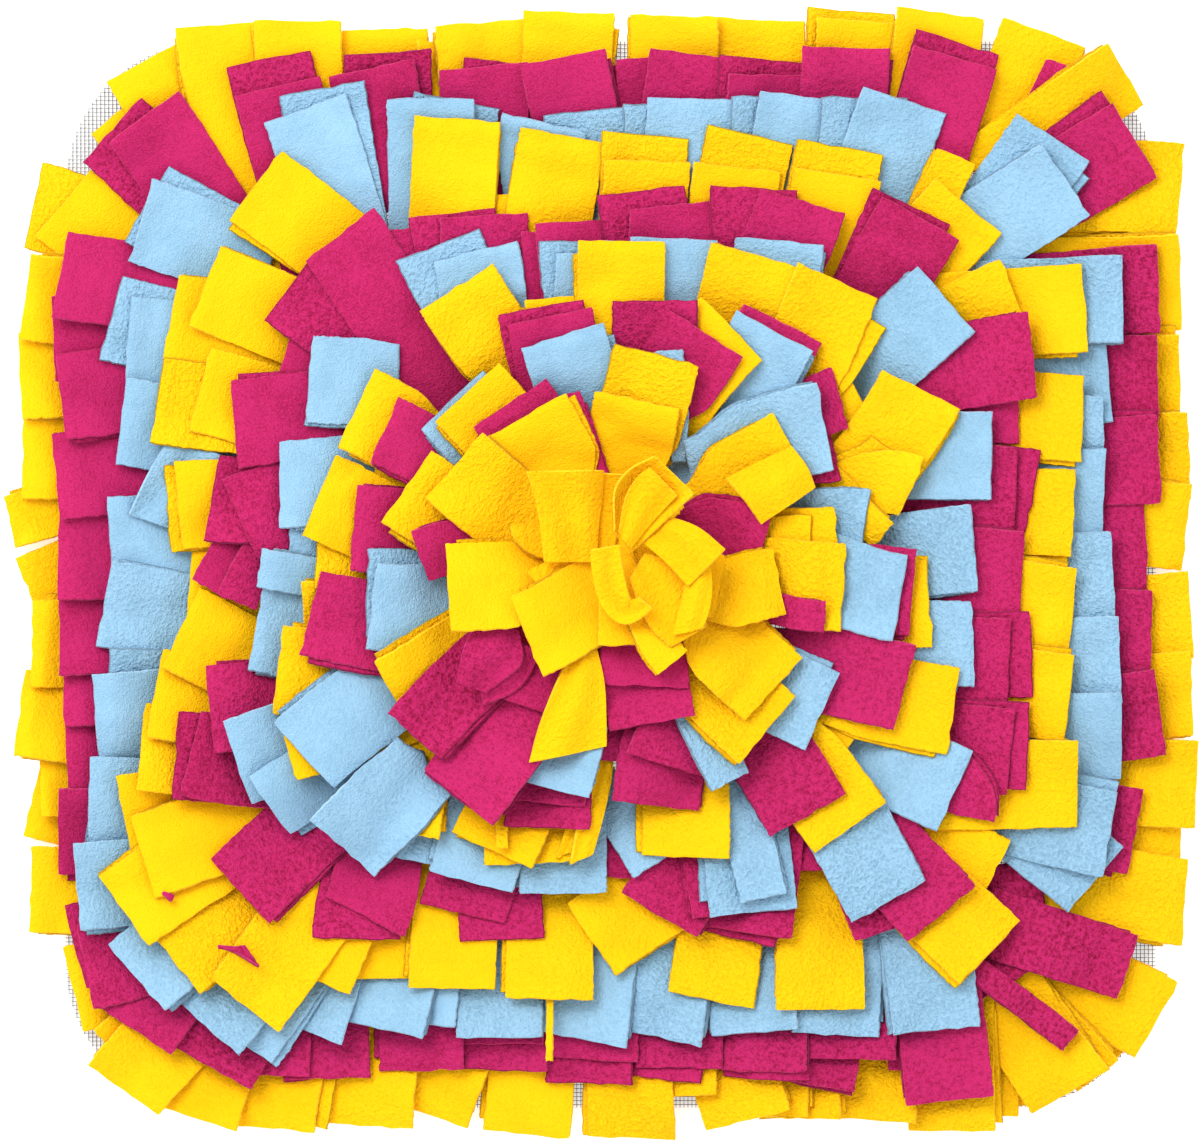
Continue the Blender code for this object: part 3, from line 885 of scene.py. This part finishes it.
def fleece_material(colour_name):
    """Brushed fleece: a short nap, a nubbly side with pebbles and painted shade in their hollows, and
    a cut edge painted paler, as a painted highlight.
    """
    colour, deep, cut_edge_highlight, shaded, lump_shading, fuzz_shading = FLEECES[colour_name]
    material, tree, shader = new_material(
        colour_name + "_fleece_cloth", Roughness=0.95, Specular_IOR_Level=0.12,
        Sheen_Weight=0.1, Sheen_Roughness=0.5, Sheen_Tint=(*colour, 1))
    place = add_node(tree, "ShaderNodeUVMap", {"uv_map": "cloth"}).outputs["UV"]

    def attribute(name):
        return add_node(tree, "ShaderNodeAttribute", {"attribute_name": name}).outputs["Fac"]

    def noise(scale, detail, roughness, low, high):
        """Noise that runs from -1 to 1, level below low and above high."""
        cloud = add_node(tree, "ShaderNodeTexNoise", Vector=place, Scale=scale, Detail=detail,
                         Roughness=roughness)
        return add_node(tree, "ShaderNodeMapRange", {"interpolation_type": "SMOOTHSTEP"},
                        Value=cloud.outputs["Fac"], From_Min=low, From_Max=high,
                        To_Min=-1, To_Max=1).outputs["Result"]

    def mixed(factor, first, second):
        return add_node(tree, "ShaderNodeMix", {"data_type": "RGBA"},
                        Factor=factor, _6=first, _7=second).outputs[2]

    def maths(operation, first, second):
        node = add_node(tree, "ShaderNodeMath", {"operation": operation}, _0=first, _1=second)
        return node.outputs[0]

    def added(*terms):
        """The sum of terms, each a value or a pair to multiply."""
        total = None
        for term in terms:
            value = maths("MULTIPLY", *term) if isinstance(term, tuple) else term
            total = value if total is None else maths("ADD", total, value)
        return total

    nap, tone, edge = attribute("nap"), attribute("tone"), attribute("cut_edge_highlight")
    pebbles = noise(scale=760, detail=2.0, roughness=0.5, low=0.32, high=0.68)
    lumps = noise(scale=470, detail=1.5, roughness=0.5, low=0.28, high=0.72)
    fuzz = noise(scale=1300, detail=2.0, roughness=0.6, low=0.3, high=0.7)
    mottle = noise(scale=70, detail=3.0, roughness=0.6, low=0.3, high=0.7)

    rough = maths("MULTIPLY", pebbles, nap)
    lumpy = maths("MULTIPLY", lumps, added((nap, 0.85), 0.22))
    bump_up(tree, shader, added(rough, lumpy, (fuzz, 0.34)), strength=0.75, distance=0.00042)
    # beside it, the mottle is random tone, and a strip's tone is random tone or painted shade
    # the colour deepens where the pebbles, lumps and fuzz lie low: painted shade in their hollows
    shade = added((rough, 0.22), (nap, -shaded), (lumpy, lump_shading), (mottle, 0.11),
                  (fuzz, fuzz_shading), (tone, 0.14), 0.84)
    cloth = mixed(shade, (*deep, 1), (*colour, 1))
    # the cut edge is painted paler: a painted highlight, where its fibres catch the light
    with_edge_highlight = mixed(maths("MULTIPLY", edge, 0.4), cloth, (*cut_edge_highlight, 1))
    tree.links.new(with_edge_highlight, shader.inputs["Base Color"])
    return material


def thread_material(name, light, dark, scale):
    """Twisted polyester thread: two greys along it, and a fine twist."""
    material, tree, shader = new_material(name, Roughness=0.7)
    place = add_node(tree, "ShaderNodeTexCoord").outputs["Object"]
    noise = add_node(tree, "ShaderNodeTexNoise", Vector=place, Scale=scale, Detail=3).outputs["Fac"]
    ramp = add_node(tree, "ShaderNodeValToRGB", Fac=noise)
    for element, position, colour in zip(ramp.color_ramp.elements, (0.38, 0.62), (dark, light)):
        element.position = position
        element.color = (*colour, 1)
    tree.links.new(ramp.outputs["Color"], shader.inputs["Base Color"])
    bump_up(tree, shader, noise, strength=0.3, distance=0.0001)
    return material


# ---------------------------------------------------------------- net and stitching

class Tree:
    """A Geometry Nodes tree with named inputs."""

    def __init__(self, name):
        self.name = name
        self.group = bpy.data.node_groups.new(name, "GeometryNodeTree")
        for way in ("INPUT", "OUTPUT"):
            self.group.interface.new_socket("Geometry", in_out=way, socket_type="NodeSocketGeometry")
        self.start = self.group.nodes.new("NodeGroupInput")
        self.end = self.group.nodes.new("NodeGroupOutput")
        self.values = {}

    def size(self, name, value):
        """Adds a named input, with the value that its modifier gives it."""
        socket = self.group.interface.new_socket(name, in_out="INPUT", socket_type="NodeSocketFloat")
        self.values[socket.identifier] = value
        return self.start.outputs[name]

    def node(self, kind, settings=None, **inputs):
        return add_node(self.group, kind, settings, **inputs)

    def maths(self, operation, first, second=0.0):
        return self.node("ShaderNodeMath", {"operation": operation}, _0=first, _1=second).outputs[0]

    def make(self, carrier_data, geometry, material):
        """Ends the tree with real geometry, runs it and returns a plain mesh object."""
        real = self.node("GeometryNodeRealizeInstances", Geometry=geometry)
        finished = self.node("GeometryNodeSetMaterial", Geometry=real.outputs[0], Material=material)
        self.group.links.new(finished.outputs[0], self.end.inputs[0])
        carrier = bpy.data.objects.new(carrier_data.name, carrier_data)
        bpy.context.scene.collection.objects.link(carrier)
        modifier = carrier.modifiers.new(self.name, "NODES")
        modifier.node_group = self.group
        for identifier, value in self.values.items():
            modifier[identifier] = value
        seen = carrier.evaluated_get(bpy.context.evaluated_depsgraph_get())
        mesh = bpy.data.meshes.new_from_object(seen)
        bpy.data.objects.remove(carrier)
        mesh.name = self.name
        piece = bpy.data.objects.new(self.name, mesh)
        bpy.context.scene.collection.objects.link(piece)
        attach(piece, "root")
        return piece


def make_net(material):
    """The mesh backing: threads both ways, cut to a square with round corners."""
    low, high = (np.array(corner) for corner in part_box("net_backing"))
    middle, half = (low + high) / 2, (high - low) / 2
    tree = Tree("net_threads")
    maths = tree.maths
    pitch = tree.size("Thread Pitch", 1.5 * MM)
    thick = tree.size("Thread Width", 0.27 * MM)
    deep = tree.size("Thread Depth", 0.46 * MM)
    corner = tree.size("Corner Radius", 55 * MM)
    halves = [tree.size(name, float(half[k])) for k, name in enumerate(("Half Width", "Half Depth"))]
    joined = tree.node("GeometryNodeJoinGeometry")
    # the threads that run across the mat lie on those that run from front to back
    for axis, height in ((0, 0.50 * MM), (1, 0.97 * MM)):
        across, length = halves[axis], halves[1 - axis]
        count = maths("FLOOR", maths("DIVIDE", maths("MULTIPLY", across, 2.0), pitch))
        first = maths("MULTIPLY", maths("SUBTRACT", count, 1.0), maths("MULTIPLY", pitch, -0.5))
        start = tree.node("ShaderNodeCombineXYZ", _0=first)
        step = tree.node("ShaderNodeCombineXYZ", _0=pitch)
        line = tree.node("GeometryNodeMeshLine", Count=count, Start_Location=start.outputs[0],
                         Offset=step.outputs[0])

        # the threads that cross a round corner are shorter
        place = tree.node("GeometryNodeInputPosition")
        apart = tree.node("ShaderNodeSeparateXYZ", _0=place.outputs[0])
        flat = maths("SUBTRACT", across, corner)
        over = maths("SUBTRACT", maths("ABSOLUTE", apart.outputs[0]), flat)
        over = maths("MAXIMUM", over, 0.0)
        chord = maths("SUBTRACT", maths("MULTIPLY", corner, corner), maths("MULTIPLY", over, over))
        chord = maths("SQRT", maths("MAXIMUM", chord, 0.0))
        reach = maths("ADD", maths("SUBTRACT", length, corner), chord)
        whole = maths("MULTIPLY", reach, 2.0)
        sizes = tree.node("ShaderNodeCombineXYZ", _0=thick, _1=whole, _2=deep)
        thread = tree.node("GeometryNodeMeshCube", Size=(1, 1, 1))
        placed = tree.node("GeometryNodeInstanceOnPoints", Points=line.outputs[0],
                           Instance=thread.outputs[0], Scale=sizes.outputs[0])
        turned = tree.node("GeometryNodeTransform", Geometry=placed.outputs[0],
                           Translation=(middle[0], middle[1], height),
                           Rotation=(0, 0, axis * math.pi / 2))
        tree.group.links.new(turned.outputs[0], joined.inputs[0])
    net = tree.make(bpy.data.meshes.new("net_line"), joined.outputs[0], material)
    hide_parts("net_backing")


def make_stitching(lines, material):
    """The stitches on the underside that hold each row of strips to the net."""
    curve = bpy.data.curves.new("stitch_lines", "CURVE")
    curve.dimensions = "3D"
    height = 0.22 * MM
    for points in lines:
        spline = curve.splines.new("POLY")
        spline.points.add(len(points) - 1)
        places = np.concatenate((points * MM, np.tile((height, 1.0), (len(points), 1))), 1)
        spline.points.foreach_set("co", places.astype(np.float32).ravel())
        spline.use_cyclic_u = True
    tree = Tree("row_stitching")
    pitch = tree.size("Stitch Pitch", 3.6 * MM)
    length = tree.size("Stitch Length", 2.7 * MM)
    thick = tree.size("Thread Radius", 0.2 * MM)
    walked = tree.node("GeometryNodeResampleCurve", {"mode": "LENGTH"},
                       Curve=tree.start.outputs[0], Length=pitch)
    tangent = tree.node("GeometryNodeInputTangent")
    turn = tree.node("FunctionNodeAlignRotationToVector", {"axis": "Z"}, Vector=tangent.outputs[0])
    stitch = tree.node("GeometryNodeMeshCylinder", Vertices=6, Radius=thick, Depth=length)
    placed = tree.node("GeometryNodeInstanceOnPoints", Points=walked.outputs[0],
                       Instance=stitch.outputs[0], Rotation=turn.outputs[0])
    tree.make(curve, placed.outputs[0], material)


# ---------------------------------------------------------------- the mat

def lay_mat():
    """Lays all the strips and makes a piece of each row. Returns the rows' stitch lines."""
    nodes = [f"row_{k:02d}_{ROW_COLOURS[k - 1]}" for k in range(1, 12)] + ["centre_tuft"]
    facts = [RowFacts(k + 1, node) for k, node in enumerate(nodes)]
    # the first laying only shows where the net is left bare, for the patches of the second
    pile, _ = lay_all(nodes, facts, [[] for _ in facts])
    pile, cloths = lay_all(nodes, facts, patch_strips(pile, facts))
    fleeces = {colour: fleece_material(colour) for colour in FLEECES}
    for cloth, colour in zip(cloths, ROW_COLOURS):
        cloth.make(fleeces[colour], colour + "_fleece", pile)
    return [row.roots for row in facts]


def make_stage():
    """A pale floor, a soft large light from the back left, and even light all round."""
    reach, depth = 3.0, -0.0002
    mesh = bpy.data.meshes.new("floor")
    corners = [(x * reach, y * reach, depth) for x, y in ((-1, -1), (1, -1), (1, 1), (-1, 1))]
    mesh.from_pydata(corners, [], [(0, 1, 2, 3)])
    floor = bpy.data.objects.new("floor", mesh)
    bpy.context.scene.collection.objects.link(floor)
    material, _, _ = new_material(
        "pale_floor", Base_Color=(0.93, 0.93, 0.93, 1), Roughness=0.9, Specular_IOR_Level=0.1,
        Emission_Color=(1, 1, 1, 1), Emission_Strength=0.45)
    mesh.materials.append(material)

    world = bpy.data.worlds.new("studio")
    world.use_nodes = True
    background = world.node_tree.nodes["Background"]
    background.inputs["Color"].default_value = (1, 1, 1, 1)
    background.inputs["Strength"].default_value = 1.18
    bpy.context.scene.world = world

    light = bpy.data.lights.new("soft_key", "AREA")
    light.shape = "RECTANGLE"
    light.size, light.size_y = 1.1, 1.1
    light.energy = 32.0
    key = bpy.data.objects.new("soft_key", light)
    key.location = (-0.8, 0.95, 1.75)
    key.rotation_euler = (-key.location).to_track_quat("-Z", "Y").to_euler()
    bpy.context.scene.collection.objects.link(key)
    bpy.context.scene.view_settings.view_transform = "Standard"


def make_camera():
    """Straight above the mat, with the whole mat just inside the view."""
    camera = bpy.data.cameras.new("above")
    camera.sensor_width = 36
    camera.lens = camera.sensor_width * VIEW_DISTANCE / VIEW_WIDTH
    camera.clip_end = 20
    above = bpy.data.objects.new("above", camera)
    x, y = to_frame(0, 0)
    above.location = (x * MM, y * MM, VIEW_DISTANCE * MM)
    bpy.context.scene.collection.objects.link(above)
    bpy.context.scene.camera = above


make_camera()
stitch_lines = lay_mat()
grey_thread = thread_material("net_thread", (0.26, 0.26, 0.26), (0.10, 0.10, 0.105), 900)
make_net(grey_thread)
white_thread = thread_material("stitch_thread", (0.85, 0.85, 0.84), (0.70, 0.70, 0.69), 2500)
make_stitching(stitch_lines, white_thread)
make_stage()
